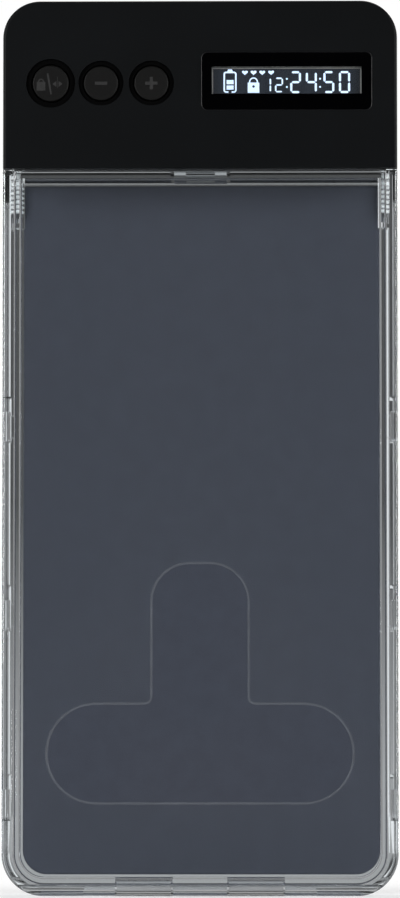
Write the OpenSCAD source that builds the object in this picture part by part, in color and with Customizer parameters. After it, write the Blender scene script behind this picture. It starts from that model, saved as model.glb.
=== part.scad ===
// Timed lock container for a phone: a clear tray and a hinged clear cover under a black timer head.
// Frame: millimetres, display towards -Y, X to the right as seen from the front, Z up.
// The origin is the centre of the base.

/* [Overall] */
// Width across the clear body and the timer head
body_w = 90; // [88:0.5:93]
// Depth from the front face to the back face
body_d = 22; // [22:0.2:25]
// Height of the clear body, up to the underside of the head
clear_h = 165.6; // [158:0.2:176]
// Height of the timer head
head_h = 38.4; // [37.6:0.2:42]
// Radius of the two bottom corners of the clear body
foot_corner_r = 9.5; // [8.5:0.5:10.5]
// Radius of the two top corners of the head
head_corner_r = 8.5; // [7.5:0.5:9]
// Rounding of the outer back edges of the tray
tray_edge_r = 2.5; // [1.6:0.1:3]
// Rounding of the inner back edges of the tray
tray_inner_r = 0.8; // [0.4:0.1:1.2]
// Rounding of the outer front edges of the cover
cover_edge_r = 0.6; // [0.4:0.1:1]
// Rounding of the outer edges of the head
head_edge_r = 0.7; // [0.4:0.1:1.2]

/* [Clear body] */
// Wall thickness of the clear tray
tray_wall = 1.8; // [1.6:0.1:2]
// Thickness of the flat panel of the cover
cover_t = 1.8; // [1.6:0.1:2]
// Thickness of the locating rim behind the panel
rim_t = 1.6; // [1.4:0.1:1.8]
// Gap between the tray wall and the rim nested in it
rim_gap = 0.7; // [0.6:0.1:0.8]
// How far the rim reaches in behind the panel
rim_reach = 4.6; // [4:0.1:5]
// Rounding of the rim's outer back edge, and chamfer of its inner one
rim_edge_r = 0.5; // [0.3:0.05:0.6]
// Length of a locating lug on a long side of the cover
lug_len = 6.8; // [5.8:0.1:7.5]
// How far a lug reaches in behind the panel
lug_reach = 4.1; // [3.4:0.1:4.2]
// Length of the notch in the tray wall that takes a lug
notch_len = 10.6; // [10:0.1:12]
// Radius of the two inner corners of a notch
notch_r = 1; // [0.6:0.1:1.1]
// Height of the lowest lug station above the base
lug_z = 22.3; // [20:0.1:25]
// Pitch of the three lug stations
lug_pitch = 42.95; // [40:0.05:45]
// Thickness of the soft pad on the tray floor
pad_t = 1.5; // [1:0.1:2]
// Distance of the pad from the outer sides
pad_in = 3.9; // [3.7:0.1:4.5]
// Radius of the pad's two bottom corners
pad_r = 5.6; // [4:0.2:7]

/* [Opening in the cover] */
// Width of the upright slot
slot_w = 21.6; // [18:0.2:26]
// Height of the slot's top above the base
slot_top = 75.2; // [66:0.2:84]
// Radius of the slot's two top corners
slot_r = 8.5; // [6:0.5:9]
// Length of the bar across the bottom of the slot
bar_len = 69.2; // [62:0.2:72]
// Height of the bar's lower edge above the base
bar_z = 21.2; // [19:0.2:24]
// Width of the bar
bar_w = 22.1; // [19:0.1:24]
// Radius of the inner corners where slot and bar meet
bar_fillet = 1.8; // [1:0.1:3]
// Width of the stepped lip round the opening
lip_w = 0.5; // [0.3:0.1:0.8]

/* [Hinge] */
// Distance of the hinge axis behind the front face, and above the base
hinge_in = 2; // [1.95:0.05:2.2]
// Radius of the hinge knuckles
knuckle_r = 1.9; // [1.7:0.05:1.9]
// Radius of the steel hinge pin
pin_r = 0.6; // [0.5:0.05:0.7]
// Pitch of the four gaps between the five knuckles
knuckle_pitch = 12.7; // [11:0.1:14]
// Overall length of the hinge
hinge_len = 53; // [50:0.5:58]

/* [Timer head] */
// Thickness of the head's front wall
face_t = 1.6; // [1.4:0.1:1.8]
// Thickness of the head's side walls and top
head_wall = 1.8; // [1.6:0.1:1.9]
// Thickness of the back plate and of the base under the head
back_t = 1.8; // [1.6:0.1:1.8]
// Height of the key centres above the underside of the head
key_z = 19.5; // [18.5:0.1:20.5]
// Distance of the lock key's centre from the left edge
lock_key_in = 10.9; // [10.7:0.1:11.4]
// Pitch of the three keys
key_pitch = 11.5; // [11.3:0.1:11.8]
// Diameter of the lock key's hole
lock_hole_d = 11.2; // [10.8:0.1:11.4]
// Diameter of the holes of the minus and plus keys
key_hole_d = 10.3; // [9.8:0.1:10.6]
// Diameter of the lock key
lock_cap_d = 8.3; // [8:0.1:8.6]
// Diameter of the minus and plus keys
key_cap_d = 7.9; // [7.6:0.1:8.2]
// Distance of a key's front behind the front face
key_in = 0.15; // [0.05:0.05:0.3]
// Travel of a key
key_travel = 0.5; // [0.3:0.05:0.6]
// Distance of the window's left edge from the centre of the plus key
window_gap = 11.4; // [11:0.1:12]
// Height of the display window
window_h = 13.4; // [12.6:0.2:14]
// Corner radius of the display window
window_r = 1.4; // [1:0.1:2]
// Distance of the window from the right edge
window_in = 5.7; // [5.2:0.1:6.4]
// Thickness of the window pane
window_t = 1; // [0.8:0.1:1.1]
// Distance of the pane's front behind the front face
pane_in = 0.05; // [0.02:0.01:0.1]

/* [Lock drive] */
// Module of the rack and pinion
gear_module = 0.4; // [0.38:0.01:0.4]
// Teeth of the pinion
pinion_teeth = 14; // [13:1:14]
// Stroke of the lock bolt
bolt_stroke = 5; // [4:0.1:5.2]
// Width of the lock bolt
bolt_w = 6; // [5:0.1:6.2]
// Thickness of the lock bolt's nose
bolt_t = 2.4; // [2:0.1:2.4]
// Height of the pinion's axis above the underside of the head
drive_z = 13.4; // [13.2:0.1:14]

/* [Inside the head] */
// Thickness of the circuit board
pcb_t = 1.6; // [1.2:0.1:1.6]
// Distance of the board's front behind the front face
pcb_in = 6.4; // [6.3:0.05:6.4]
// Width of the lithium cell
cell_w = 29; // [24:0.5:30]
// Free height above the lithium cell, for its leads
cell_room = 9.4; // [9.4:0.1:13]
// Thickness of the lithium cell
cell_t = 6; // [5:0.1:6]
// Radius of the screw threads of the two tray screws
screw_r = 1; // [0.9:0.05:1]
// Distance of the tray screws from the outer side
screw_in = 2.6; // [2.6:0.1:3]
// Pitch of the tray screws' thread
screw_pitch = 1.1; // [0.9:0.1:1.2]

/* [Fits] */
// Running clearance on radius of pin and shaft
run_clear = 0.04; // [0.02:0.01:0.08]
// Gap end to end between knuckles
knuckle_gap = 0.3; // [0.2:0.05:0.4]
// Gap all round the closed cover
cover_gap = 0.1; // [0.08:0.01:0.15]
// Gap round the hinge's moving outline
swing_clear = 0.3; // [0.25:0.05:0.4]
// Sliding clearance of the bolt in its channel, each side
slide_clear = 0.05; // [0.04:0.01:0.08]
// Play of the bolt in the strike, to its front and its back
strike_clear = 1; // [0.9:0.05:1.1]
// Gap on radius round a key
key_clear = 0.3; // [0.2:0.05:0.35]
// Bite on radius of pressed parts
press_bite = 0.01; // [0.01:0.005:0.02]

/* [Hidden] */
$fn = 64;
e = 0.01;

// faces and levels
xh = body_w / 2;
yf = -body_d / 2;
yb = body_d / 2;
hz = clear_h;
top_z = clear_h + head_h;
face_y = yf + face_t;
back_y = yb - back_t;
base_z = hz + back_t;

// cover and tray
panel_y = yf + cover_t;
tray_y = panel_y + cover_gap;
cover_top = hz - 0.4;
rim_in = tray_wall + rim_gap;
rim_y = panel_y + rim_reach;
rim_top = cover_top - 0.2;
hole_w = xh - rim_in - rim_t;
hole_z = rim_in + rim_t + 0.2;
hole_corner_r = foot_corner_r - rim_in - rim_t;
axis_y = yf + hinge_in;
axis_z = hinge_in;
pocket_r = hinge_in + swing_clear;
stations = [lug_z, lug_z + lug_pitch, lug_z + 2 * lug_pitch];
gap_at = [-1.5, -0.5, 0.5, 1.5] * knuckle_pitch;
boss_r = 1.65;
boss_len = 12.3;
screw_x = xh - screw_in;
screw_y = back_y - pad_t - boss_r - 0.05;
screw_len = 12.3;
screw_head_r = 1.7;

// keys and display
lock_x = -xh + lock_key_in;
minus_x = lock_x + key_pitch;
plus_x = minus_x + key_pitch;
keys_z = hz + key_z;
window_w = body_w - window_in - window_gap - lock_key_in - 2 * key_pitch;
window_x = xh - window_in - window_w / 2;
lcd_w = window_w - 2.6;
lcd_h = window_h - 3;
lcd_t = 1.8;
cap_y = yf + key_in;
lcd_y = face_y + 0.05;
mat_t = 0.8;
mat_edge = 1;
mat_corner_r = 3;
mat_half = lock_hole_d / 2 + mat_edge;
mat_y = face_y + mat_t;
pcb_y = yf + pcb_in;
pcb_back = pcb_y + pcb_t;
switch_h = 2;

// drive
pitch_r = gear_module * pinion_teeth / 2;
motor_y = back_y - 5.8;
drive_axis_z = hz + drive_z;
bolt_y = motor_y - pitch_r - 1.2;
tip_rest_z = hz + 0.4;
bolt_len = 20;
strike_y0 = bolt_y - bolt_t / 2 - strike_clear;
strike_y1 = bolt_y + bolt_t / 2 + strike_clear;
strike_back = strike_y1 + rim_t;
strike_w = bolt_w + 6;
channel_wall = 1;
tooth = gear_module * PI;
shaft_r = 1;
gearbox_w = 9.2;
gearbox_x = bolt_w / 2 + 1.4;
can_x = gearbox_x + gearbox_w;
can_len = 15;
can_r = 6;
can_flat = 5;

// posts and screws inside the head
post_r = 2.3;
low_post = [xh - 5.6, hz + 8];
high_post = [xh - 6.8, top_z - 6.4];
post_screw_r = 1;
post_screw_len = 9.5;
board_post_r = 2;
board_post_in = 12;
board_posts = [for (s = [-1, 1]) each [[s * (xh - board_post_in), hz + 6.9],
    [s * (xh - board_post_in - board_post_r), top_z - 5.6]]];
small_screw_r = 0.85;
small_screw_len = 5;
clamp_t = 1.2;
clamp_w = 6;
clamp_post_r = 1.9;
clamp_z = can_r + 0.1 + clamp_t + clamp_post_r + 0.3;
clamp_x = gearbox_x + 4.2;

// chips, as width, thickness and height
controller = [10, 1.4, 8];
charger = [4, 0.9, 4];
regulator = [4, 1.2, 5];

// socket, plugs and cell
socket_x = 12;
socket_len = 7.3;
socket_z = top_z - 0.6 - socket_len;
plug_w = 6;
plug_t = 4.4;
plug_h = 4;
cell_x0 = -xh + 9;
cell_z0 = hz + 5;
cell_h = top_z - cell_z0 - cell_room;
cell_lead_z = top_z - 7;
cell_plug_x = cell_x0 + 9;
motor_plug_x = can_x + can_len - 0.6 - plug_w;
motor_plug_z = top_z - 12;

// ---- helpers ----

// Extrudes a shape drawn in the XZ plane from y0 back to y1
module slab(y0, y1) translate([0, y1, 0]) rotate([90, 0, 0]) linear_extrude(y1 - y0) children();

// A bar of radius r along X, from x0 to x1
module bar_x(x0, x1, r, y, z) translate([x0, y, z]) rotate([0, 90, 0]) cylinder(h = x1 - x0, r = r);

// A bar of radius r along Y, from y0 to y1
module bar_y(x, z, r, y0, y1) translate([x, y1, z]) rotate([90, 0, 0]) cylinder(h = y1 - y0, r = r);

// A box from one corner to the other
module box(a, b) translate(a) cube(b - a);

module both_sides() {
    children();
    mirror([1, 0, 0]) children();
}

// Rectangle with four round corners, from corner a to corner b
module rounded(a, b, r) {
    translate([a[0] + r, a[1]]) square([b[0] - a[0] - 2 * r, b[1] - a[1]]);
    translate([a[0], a[1] + r]) square([b[0] - a[0], b[1] - a[1] - 2 * r]);
    for (x = [a[0] + r, b[0] - r], z = [a[1] + r, b[1] - r]) translate([x, z]) circle(r);
}

// Rectangle of half width w with its two bottom corners round
module round_foot(w, z0, z1, r) {
    translate([-w, z0 + r]) square([2 * w, z1 - z0 - r]);
    translate([-w + r, z0]) square([2 * (w - r), z1 - z0]);
    for (x = [-w + r, w - r]) translate([x, z0 + r]) circle(r);
}

// Rectangle of half width w with its two top corners round
module round_head(w, z0, z1, r) translate([0, z0 + z1]) mirror([0, 1]) round_foot(w, z0, z1, r);

// Profile of an outer edge: reaches out to len, with its front or back corner rounded
module edge(len, y0, y1, front_r, back_r) {
    translate([0, y0 + front_r]) square([len, y1 - y0 - front_r - back_r]);
    if (front_r > 0) {
        translate([0, y0]) square([len - front_r, front_r + e]);
        translate([len - front_r, y0 + front_r]) circle(front_r);
    }
    if (back_r > 0) {
        translate([0, y1 - back_r - e]) square([len - back_r, back_r + e]);
        translate([len - back_r, y1 - back_r]) circle(back_r);
    }
}

// Block with two round bottom corners; along both sides and the bottom it has the profile that is
// given as its child, which reaches out to $len
module foot_sweep(w, z0, z1, corner) {
    for (x = [-w + corner, w - corner]) translate([x, 0, z0 + corner]) rotate([-90, 0, 0])
        rotate_extrude() {
            $len = corner;
            children();
        }
    both_sides() translate([0, 0, z0 + corner]) linear_extrude(z1 - z0 - corner) {
        $len = w;
        children();
    }
    translate([-w + corner, 0, z1]) rotate([0, 90, 0]) linear_extrude(2 * (w - corner)) {
        $len = z1 - z0;
        children();
    }
}

// Such a block with rounded edges
module foot_block(w, z0, z1, corner, y0, y1, front_r, back_r) foot_sweep(w, z0, z1, corner)
    edge($len, y0, y1, front_r, back_r);

// The same block turned over, with its round corners at the top
module head_block(w, z0, z1, corner, y0, y1, front_r, back_r)
    translate([0, 0, z0 + z1]) mirror([0, 0, 1]) foot_block(w, z0, z1, corner, y0, y1, front_r, back_r);

// Self-tapping screw along -Z: pan head on z = 0, thread of annular ridges below it
module threaded_screw(r, head_r, head_h, plain, len) {
    core = r * 0.72;
    turns = floor((len - plain - 1) / screw_pitch);
    rotate_extrude() {
        polygon(concat(
            [[0, 0], [core + 0.1, 0], [core + 0.1, -plain]],
            [for (i = [0 : turns - 1]) each [
                [core, -plain - i * screw_pitch - 0.1],
                [r, -plain - (i + 0.45) * screw_pitch],
                [r, -plain - (i + 0.6) * screw_pitch],
                [core, -plain - (i + 1) * screw_pitch + 0.1]]],
            [[core, -plain - turns * screw_pitch], [0.1, -len], [0, -len]]));
        square([head_r - 0.4, head_h]);
        square([head_r, head_h - 0.4]);
        translate([head_r - 0.4, head_h - 0.4]) circle(0.4);
    }
}

// Plain pan head screw that enters along -Y: its head seats on y, its shank reaches to y - len
module y_screw(x, z, y, r, head_r, head_h, len) difference() {
    union() {
        bar_y(x, z, r, y - len, y + e);
        bar_y(x, z, head_r, y, y + head_h);
    }
    translate([x, y + head_h, z]) {
        cube([head_r * 1.2, 1, head_r * 0.32], center = true);
        cube([head_r * 0.32, 1, head_r * 1.2], center = true);
    }
}

// A wire through the given points
module wire(points, r) {
    for (i = [0 : len(points) - 2]) {
        d = points[i + 1] - points[i];
        translate(points[i]) rotate([0, acos(d[2] / norm(d)), atan2(d[1], d[0])])
            cylinder(h = norm(d), r = r, $fn = 24);
    }
    for (i = [1 : 1 : len(points) - 2]) translate(points[i]) sphere(r, $fn = 24);
}

// ---- clear body ----

// One notch of the tray walls for a lug, with two round inner corners
module lug_notch(z) translate([xh - tray_wall - 0.5, 0, z]) rotate([90, 0, 90])
    linear_extrude(tray_wall + 1.5) {
        deep = tray_y + lug_reach + 0.3;
        translate([tray_y - 1, -notch_len / 2]) square([deep - notch_r - tray_y + 1, notch_len]);
        translate([tray_y - 1, -notch_len / 2 + notch_r])
            square([deep - tray_y + 1, notch_len - 2 * notch_r]);
        for (s = [-1, 1]) translate([deep - notch_r, s * (notch_len / 2 - notch_r)]) circle(notch_r);
    }

// Knuckles between x0 and x1, less half a gap at each end that meets another
module knuckle(x0, x1) bar_x(x0, x1, knuckle_r, axis_y, axis_z);

module back_tray() color([0.86, 0.9, 0.92, 0.35]) difference() {
    union() {
        difference() {
            foot_block(xh, 0, hz, foot_corner_r, tray_y, yb, 0, tray_edge_r);
            foot_block(xh - tray_wall, tray_wall, hz + 1, foot_corner_r - tray_wall, tray_y - 1, back_y,
                0, tray_inner_r);
            bar_x(-xh - 1, xh + 1, pocket_r, axis_y, axis_z);
            both_sides() for (z = stations) lug_notch(z);
        }
        // the top wall under the head, cut back for the cover's strike
        difference() {
            box([-xh + tray_wall - e, rim_y + 0.6, hz - 1.8], [xh - tray_wall + e, back_y + e, hz]);
            box([-strike_w / 2 - 0.8, rim_y, hz - 2], [strike_w / 2 + 0.8, strike_back + 0.8, hz + 1]);
        }
        // screw bosses on the back wall
        both_sides() {
            translate([screw_x, screw_y, hz - boss_len]) cylinder(h = boss_len, r = boss_r);
            box([screw_x - 0.7, screw_y, hz - boss_len], [screw_x + 0.7, back_y + e, hz]);
        }
        // two knuckles, each on a web out of the bottom wall
        both_sides() {
            x0 = gap_at[2] + knuckle_gap / 2;
            x1 = gap_at[3] - knuckle_gap / 2;
            knuckle(x0, x1);
            box([x0, axis_y, 0], [x1, axis_y + pocket_r + 0.8, tray_wall]);
        }
    }
    bar_x(-hinge_len, hinge_len, pin_r - press_bite, axis_y, axis_z);
    both_sides() translate([screw_x, screw_y, hz - screw_len + back_t - 0.6])
        cylinder(h = screw_len, r = screw_r * 0.74);
}

module tray_pad() color([0.19, 0.21, 0.25])
    slab(back_y - pad_t, back_y) round_foot(xh - pad_in, pad_in + 0.7, hz - 2.2, pad_r);

// Outline of the inverted-T opening, grown by g
module tee(g) {
    translate([-slot_w / 2 - g, bar_z + bar_w / 2]) square([slot_w + 2 * g, slot_top - bar_z
        - bar_w / 2 - slot_r]);
    translate([-slot_w / 2 + slot_r, bar_z + bar_w / 2]) square([slot_w - 2 * slot_r,
        slot_top - bar_z - bar_w / 2 + g]);
    for (x = [-1, 1]) translate([x * (slot_w / 2 - slot_r), slot_top - slot_r]) circle(slot_r + g);
    rounded([-bar_len / 2 - g, bar_z - g], [bar_len / 2 + g, bar_z + bar_w + g],
        bar_w / 2 + g - e);
    f = bar_fillet - g;
    for (s = [-1, 1]) translate([s * (slot_w / 2 + g), bar_z + bar_w + g]) difference() {
        translate([min(0, s * f) - (s > 0 ? e : 0), -e]) square([f + e, f + e]);
        translate([s * f, f]) circle(f);
    }
}

module front_cover() color([0.9, 0.93, 0.95, 0.3]) difference() {
    union() {
        // flat panel; its lower front edge is rolled round the hinge axis
        intersection() {
            foot_block(xh, 0, cover_top, foot_corner_r, yf, panel_y, cover_edge_r, 0);
            union() {
                box([-xh, yf - 1, axis_z], [xh, panel_y + 1, cover_top + 1]);
                bar_x(-xh, xh, hinge_in, axis_y, axis_z);
            }
        }
        // rim nested inside the tray walls
        difference() {
            foot_block(xh - rim_in, rim_in - 0.1, rim_top, foot_corner_r - rim_in,
                panel_y - e, rim_y, 0, rim_edge_r);
            slab(panel_y - 1, rim_y + 1) round_foot(hole_w, hole_z, rim_top - rim_t, hole_corner_r);
            foot_sweep(hole_w, hole_z, rim_top - rim_t, hole_corner_r) polygon([[0, rim_y - rim_edge_r],
                [$len, rim_y - rim_edge_r], [$len + rim_edge_r + 1, rim_y + 1], [0, rim_y + 1]]);
        }
        // three lugs a side with round ends, each tied to the rim by a short rib
        both_sides() for (z = stations) {
            lug_r = (tray_wall - 0.1 - cover_gap) / 2;
            translate([xh - cover_gap - lug_r, 0, z - notch_len / 2 + 0.3]) linear_extrude(lug_len) {
                translate([-lug_r, panel_y - e]) square([2 * lug_r, lug_reach - lug_r + e]);
                translate([0, panel_y + lug_reach - lug_r]) circle(lug_r);
            }
            box([xh - rim_in - e, panel_y - e, z - notch_len / 2 + 1.2],
                [xh - tray_wall + 0.2, panel_y + lug_reach - 1, z - notch_len / 2 + 6.2]);
        }
        // middle knuckle and two outer knuckles
        knuckle(gap_at[1] + knuckle_gap / 2, gap_at[2] - knuckle_gap / 2);
        both_sides() knuckle(gap_at[3] + knuckle_gap / 2, hinge_len / 2);
    }
    // clear of the tray's knuckles
    both_sides() bar_x(gap_at[2] - knuckle_gap / 2, gap_at[3] + knuckle_gap / 2,
        pocket_r, axis_y, axis_z);
    bar_x(-hinge_len, hinge_len, pin_r + run_clear, axis_y, axis_z);
    // inverted-T opening with a stepped lip
    slab(yf - 1, panel_y + 1) tee(0);
    slab(yf - 1, yf + 0.4) tee(lip_w);
}

// Eye for the lock bolt, moulded apart and welded to the back of the cover's rim
module cover_strike() color([0.9, 0.93, 0.95, 0.3]) difference() {
    box([-strike_w / 2, rim_y, rim_top - rim_t], [strike_w / 2, strike_back, rim_top]);
    box([-bolt_w / 2 - 0.3, strike_y0, rim_top - rim_t - 1],
        [bolt_w / 2 + 0.3, strike_y1, rim_top + 1]);
}

module hinge_pin() color([0.75, 0.76, 0.78])
    bar_x(-hinge_len / 2 + 0.2, hinge_len / 2 - 0.2, pin_r, axis_y, axis_z);

module tray_screws() color([0.62, 0.63, 0.65]) both_sides()
    translate([screw_x, screw_y, base_z]) threaded_screw(screw_r, screw_head_r, 1.2, 4.2, screw_len);

// ---- head housing ----

module head_front() color([0.06, 0.065, 0.07]) difference() {
    union() {
        difference() {
            head_block(xh, hz, top_z, head_corner_r, yf, back_y, head_edge_r, 0);
            slab(face_y, back_y + 1) round_head(xh - head_wall, hz - 1, top_z - head_wall,
                head_corner_r - head_wall);
        }
        // posts for the housing screws
        both_sides() for (p = [low_post, high_post])
            bar_y(p[0], p[1], post_r, face_y - e, back_y - 1.4);
        for (p = board_posts) bar_y(p[0], p[1], board_post_r, face_y - e, pcb_y);
    }
    // driver pockets over the tray screws
    both_sides() translate([screw_x, screw_y, hz - 1]) cylinder(h = 8, r = 2);
    both_sides() for (p = [low_post, high_post]) bar_y(p[0], p[1], 0.8, back_y - 11, back_y);
    for (p = board_posts) bar_y(p[0], p[1], 0.7, face_y + 0.8, pcb_y + 1);
    // key holes
    bar_y(lock_x, keys_z, lock_hole_d / 2, yf - 1, face_y + 1);
    for (x = [minus_x, plus_x]) bar_y(x, keys_z, key_hole_d / 2, yf - 1, face_y + 1);
    // seat and sight opening of the display window
    slab(yf - 1, yf + window_t + 0.05) window_shape(0.05);
    slab(yf, face_y + 1) translate([window_x, keys_z + 0.35])
        square([lcd_w - 1.6, lcd_h - 3.2], center = true);
    // charging socket opening in the top
    translate([socket_x, pcb_back + 1.6, top_z - head_wall - 1]) linear_extrude(head_wall + 2)
        rounded([-4.75, -1.9], [4.75, 1.9], 1.85);
}

module window_shape(g) translate([window_x, keys_z + 0.4])
    rounded([-window_w / 2 - g, -window_h / 2 - g], [window_w / 2 + g, window_h / 2 + g], window_r);

module head_back() color([0.06, 0.065, 0.07]) difference() {
    union() {
        head_block(xh, hz, top_z, head_corner_r, back_y, yb, 0, head_edge_r);
        // base of the head, with ears round the tray screws
        box([-xh + head_wall + 0.1, face_y + 0.1, hz], [xh - head_wall - 0.1, back_y + e, base_z]);
        both_sides() translate([screw_x, screw_y, hz]) cylinder(h = back_t, r = 1.9);
        // pads under the housing screws' heads
        both_sides() for (p = [low_post, high_post])
            bar_y(p[0], p[1], 3, back_y - 1.4, back_y + e);
        // channel that guides the bolt
        difference() {
            box([-bolt_w / 2 - slide_clear - channel_wall - 0.4,
                bolt_y - bolt_t / 2 - slide_clear - channel_wall, base_z - e],
                [bolt_w / 2 + slide_clear + channel_wall, bolt_y + bolt_t / 2 - 0.3, tip_rest_z + bolt_len]);
            box([-bolt_w / 2 - slide_clear, bolt_y - bolt_t / 2 - slide_clear, hz - 1],
                [bolt_w / 2 + slide_clear, bolt_y + bolt_t + 1, top_z]);
        }
        // posts for the motor clamp
        for (z = [-clamp_z, clamp_z])
            bar_y(clamp_x, drive_axis_z + z, clamp_post_r, motor_y + clamp_t, back_y + e);
        // pads behind the gearbox, and ribs round the cell
        box([gearbox_x + 1, back_y - 0.8, drive_axis_z - 4], [gearbox_x + gearbox_w - 1, back_y + e,
            drive_axis_z + 4]);
        difference() {
            box([cell_x0 - 1.2, back_y - 2.5, cell_z0 - 1.2],
                [cell_x0 + cell_w + 1.2, back_y + e, cell_z0 + cell_h + 1.2]);
            box([cell_x0 - 0.2, back_y - 3, cell_z0 - 0.2],
                [cell_x0 + cell_w + 0.2, back_y, cell_z0 + cell_h + 0.2]);
            box([cell_x0 + 4, back_y - 3, cell_z0 - 2],
                [cell_x0 + cell_w - 4, back_y, cell_z0 + cell_h + 2]);
            both_sides() for (p = [low_post, high_post]) bar_y(p[0], p[1], 3, back_y - 4, back_y);
        }
    }
    // bolt hole in the base
    box([-bolt_w / 2 - slide_clear, bolt_y - bolt_t / 2 - slide_clear, hz - 1],
        [bolt_w / 2 + slide_clear, bolt_y + bolt_t / 2 + slide_clear, base_z + 1]);
    // tray screw holes
    both_sides() translate([screw_x, screw_y, hz - 1]) cylinder(h = back_t + 2, r = 1.2);
    // housing screw holes and counterbores
    both_sides() for (p = [low_post, high_post]) {
        bar_y(p[0], p[1], 1.2, back_y - 2, yb);
        bar_y(p[0], p[1], 2.2, back_y, yb + 1);
    }
    for (z = [-clamp_z, clamp_z]) bar_y(clamp_x, drive_axis_z + z, 0.7, motor_y, back_y - 0.2);
}

module housing_screws() color([0.3, 0.3, 0.32])
    for (s = [-1, 1], p = [low_post, high_post])
        y_screw(s * p[0], p[1], back_y, post_screw_r, 1.9, 1.2, post_screw_len);

// ---- display and keys ----

module display_window() color([0.02, 0.02, 0.025])
    slab(yf + pane_in, yf + window_t) window_shape(0);

module display_panel() color([0.14, 0.17, 0.2])
    translate([window_x - lcd_w / 2, lcd_y, keys_z + 0.35 - lcd_h / 2]) cube([lcd_w, lcd_t, lcd_h]);

module display_backlight() color([0.85, 0.86, 0.86])
    translate([window_x - lcd_w / 2 - 0.3, lcd_y + lcd_t, keys_z + 0.05 - lcd_h / 2])
        cube([lcd_w + 0.6, pcb_y - lcd_y - lcd_t, lcd_h + 0.6]);

module key_mat() color([0.035, 0.035, 0.04]) difference() {
    union() {
        slab(face_y, mat_y) rounded([lock_x - mat_half, keys_z - mat_half],
            [plus_x + key_hole_d / 2 + mat_edge, keys_z + mat_half], mat_corner_r);
        bar_y(lock_x, keys_z, lock_hole_d / 2 - 0.05, yf + 0.6, face_y + e);
        for (x = [minus_x, plus_x])
            bar_y(x, keys_z, key_hole_d / 2 - 0.05, yf + 0.6, face_y + e);
    }
    bar_y(lock_x, keys_z, lock_cap_d / 2 + key_clear, yf, mat_y + 1);
    for (x = [minus_x, plus_x]) bar_y(x, keys_z, key_cap_d / 2 + key_clear, yf, mat_y + 1);
}

// A key: cap with a rounded front rim, a flange behind the mat
module key_cap(x, d) color([0.09, 0.09, 0.095]) translate([x, 0, keys_z]) rotate([-90, 0, 0])
    rotate_extrude() {
        translate([0, cap_y]) square([d / 2 - 0.35, 1]);
        translate([0, cap_y + 0.35]) square([d / 2, mat_y + 0.1 - cap_y - 0.35 + e]);
        translate([d / 2 - 0.35, cap_y + 0.35]) circle(0.35);
        translate([0, mat_y + 0.1]) square([d / 2 + 0.8, 0.6]);
    }

module lock_key() key_cap(lock_x, lock_cap_d);

module minus_key() key_cap(minus_x, key_cap_d);

module plus_key() key_cap(plus_x, key_cap_d);

// ---- electronics ----

module main_board() color([0.1, 0.3, 0.16]) difference() {
    slab(pcb_y, pcb_back) rounded([-xh + 7.4, hz + 4], [xh - 7.4, top_z - 3.2], 1.5);
    both_sides() for (p = [low_post, high_post])
        bar_y(p[0], p[1], post_r + 0.5, pcb_y - 1, pcb_back + 1);
    for (p = board_posts) bar_y(p[0], p[1], 1.1, pcb_y - 1, pcb_back + 1);
}

module key_switches() color([0.16, 0.16, 0.17]) for (x = [lock_x + 0.6, minus_x, plus_x]) {
    translate([x - 2.6, pcb_y - switch_h, keys_z - 2.6]) cube([5.2, switch_h, 5.2]);
    bar_y(x, keys_z, 1.4, mat_y + 0.7 + key_travel + 0.1, pcb_y - switch_h + e);
}

module board_parts() color([0.08, 0.08, 0.09]) {
    // controller, charger below the socket, regulator near the right edge
    translate([cell_x0 + controller[0], pcb_back, keys_z - controller[2]]) cube(controller);
    translate([socket_x - charger[0] / 2, pcb_back, socket_z - charger[2] - 2]) cube(charger);
    translate([xh - 9 - regulator[0], pcb_back, keys_z - 3]) cube(regulator);
    // battery plug and motor plug
    box([cell_plug_x, pcb_back, cell_lead_z - plug_h / 2],
        [cell_plug_x + plug_w, pcb_back + plug_t, cell_lead_z + plug_h / 2]);
    box([motor_plug_x, pcb_back, motor_plug_z],
        [motor_plug_x + plug_w, pcb_back + plug_t, motor_plug_z + plug_h]);
}

module board_screws() color([0.6, 0.6, 0.62])
    for (p = board_posts) y_screw(p[0], p[1], pcb_back, small_screw_r, 1.6, 1, small_screw_len);

module charge_socket() color([0.7, 0.71, 0.73])
    translate([socket_x, pcb_back + 1.6, socket_z]) difference() {
        linear_extrude(socket_len) rounded([-4.47, -1.6], [4.47, 1.6], 1.55);
        translate([0, 0, 1]) linear_extrude(socket_len) difference() {
            rounded([-4.17, -1.3], [4.17, 1.3], 1.25);
            translate([-3.3, -0.35]) square([6.6, 0.7]);
        }
    }

module battery_cell() color([0.72, 0.74, 0.78])
    slab(back_y - cell_t, back_y) rounded([cell_x0, cell_z0], [cell_x0 + cell_w, cell_z0 + cell_h], 2);

module battery_leads() color([0.7, 0.08, 0.06]) for (x = [plug_w / 4, plug_w * 3 / 4] + [1, 1] * cell_plug_x)
    wire([[x, back_y - cell_t / 2, cell_z0 + cell_h], [x, back_y - cell_t / 2, cell_lead_z],
        [x, pcb_back + plug_t, cell_lead_z]], 0.5);

module buzzer() color([0.05, 0.05, 0.055]) difference() {
    bar_y(-9, top_z - 8.5, 4.5, pcb_back, pcb_back + 4);
    bar_y(-9, top_z - 8.5, 0.8, pcb_back + 3, pcb_back + 5);
}

// ---- lock drive ----

module motor_can() color([0.74, 0.75, 0.77]) translate([can_x, motor_y, drive_axis_z])
    rotate([0, 90, 0]) {
        intersection() {
            cylinder(h = can_len, r = can_r);
            translate([-can_r - 1, -can_flat, -1]) cube([2 * can_r + 2, 2 * can_flat, can_len + 2]);
        }
        cylinder(h = can_len + 0.8, r = 2.4);
        for (y = [-2.6, 2.6]) translate([-0.9, y - 0.2, can_len - e]) cube([1.8, 0.4, 1.6]);
    }

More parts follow.
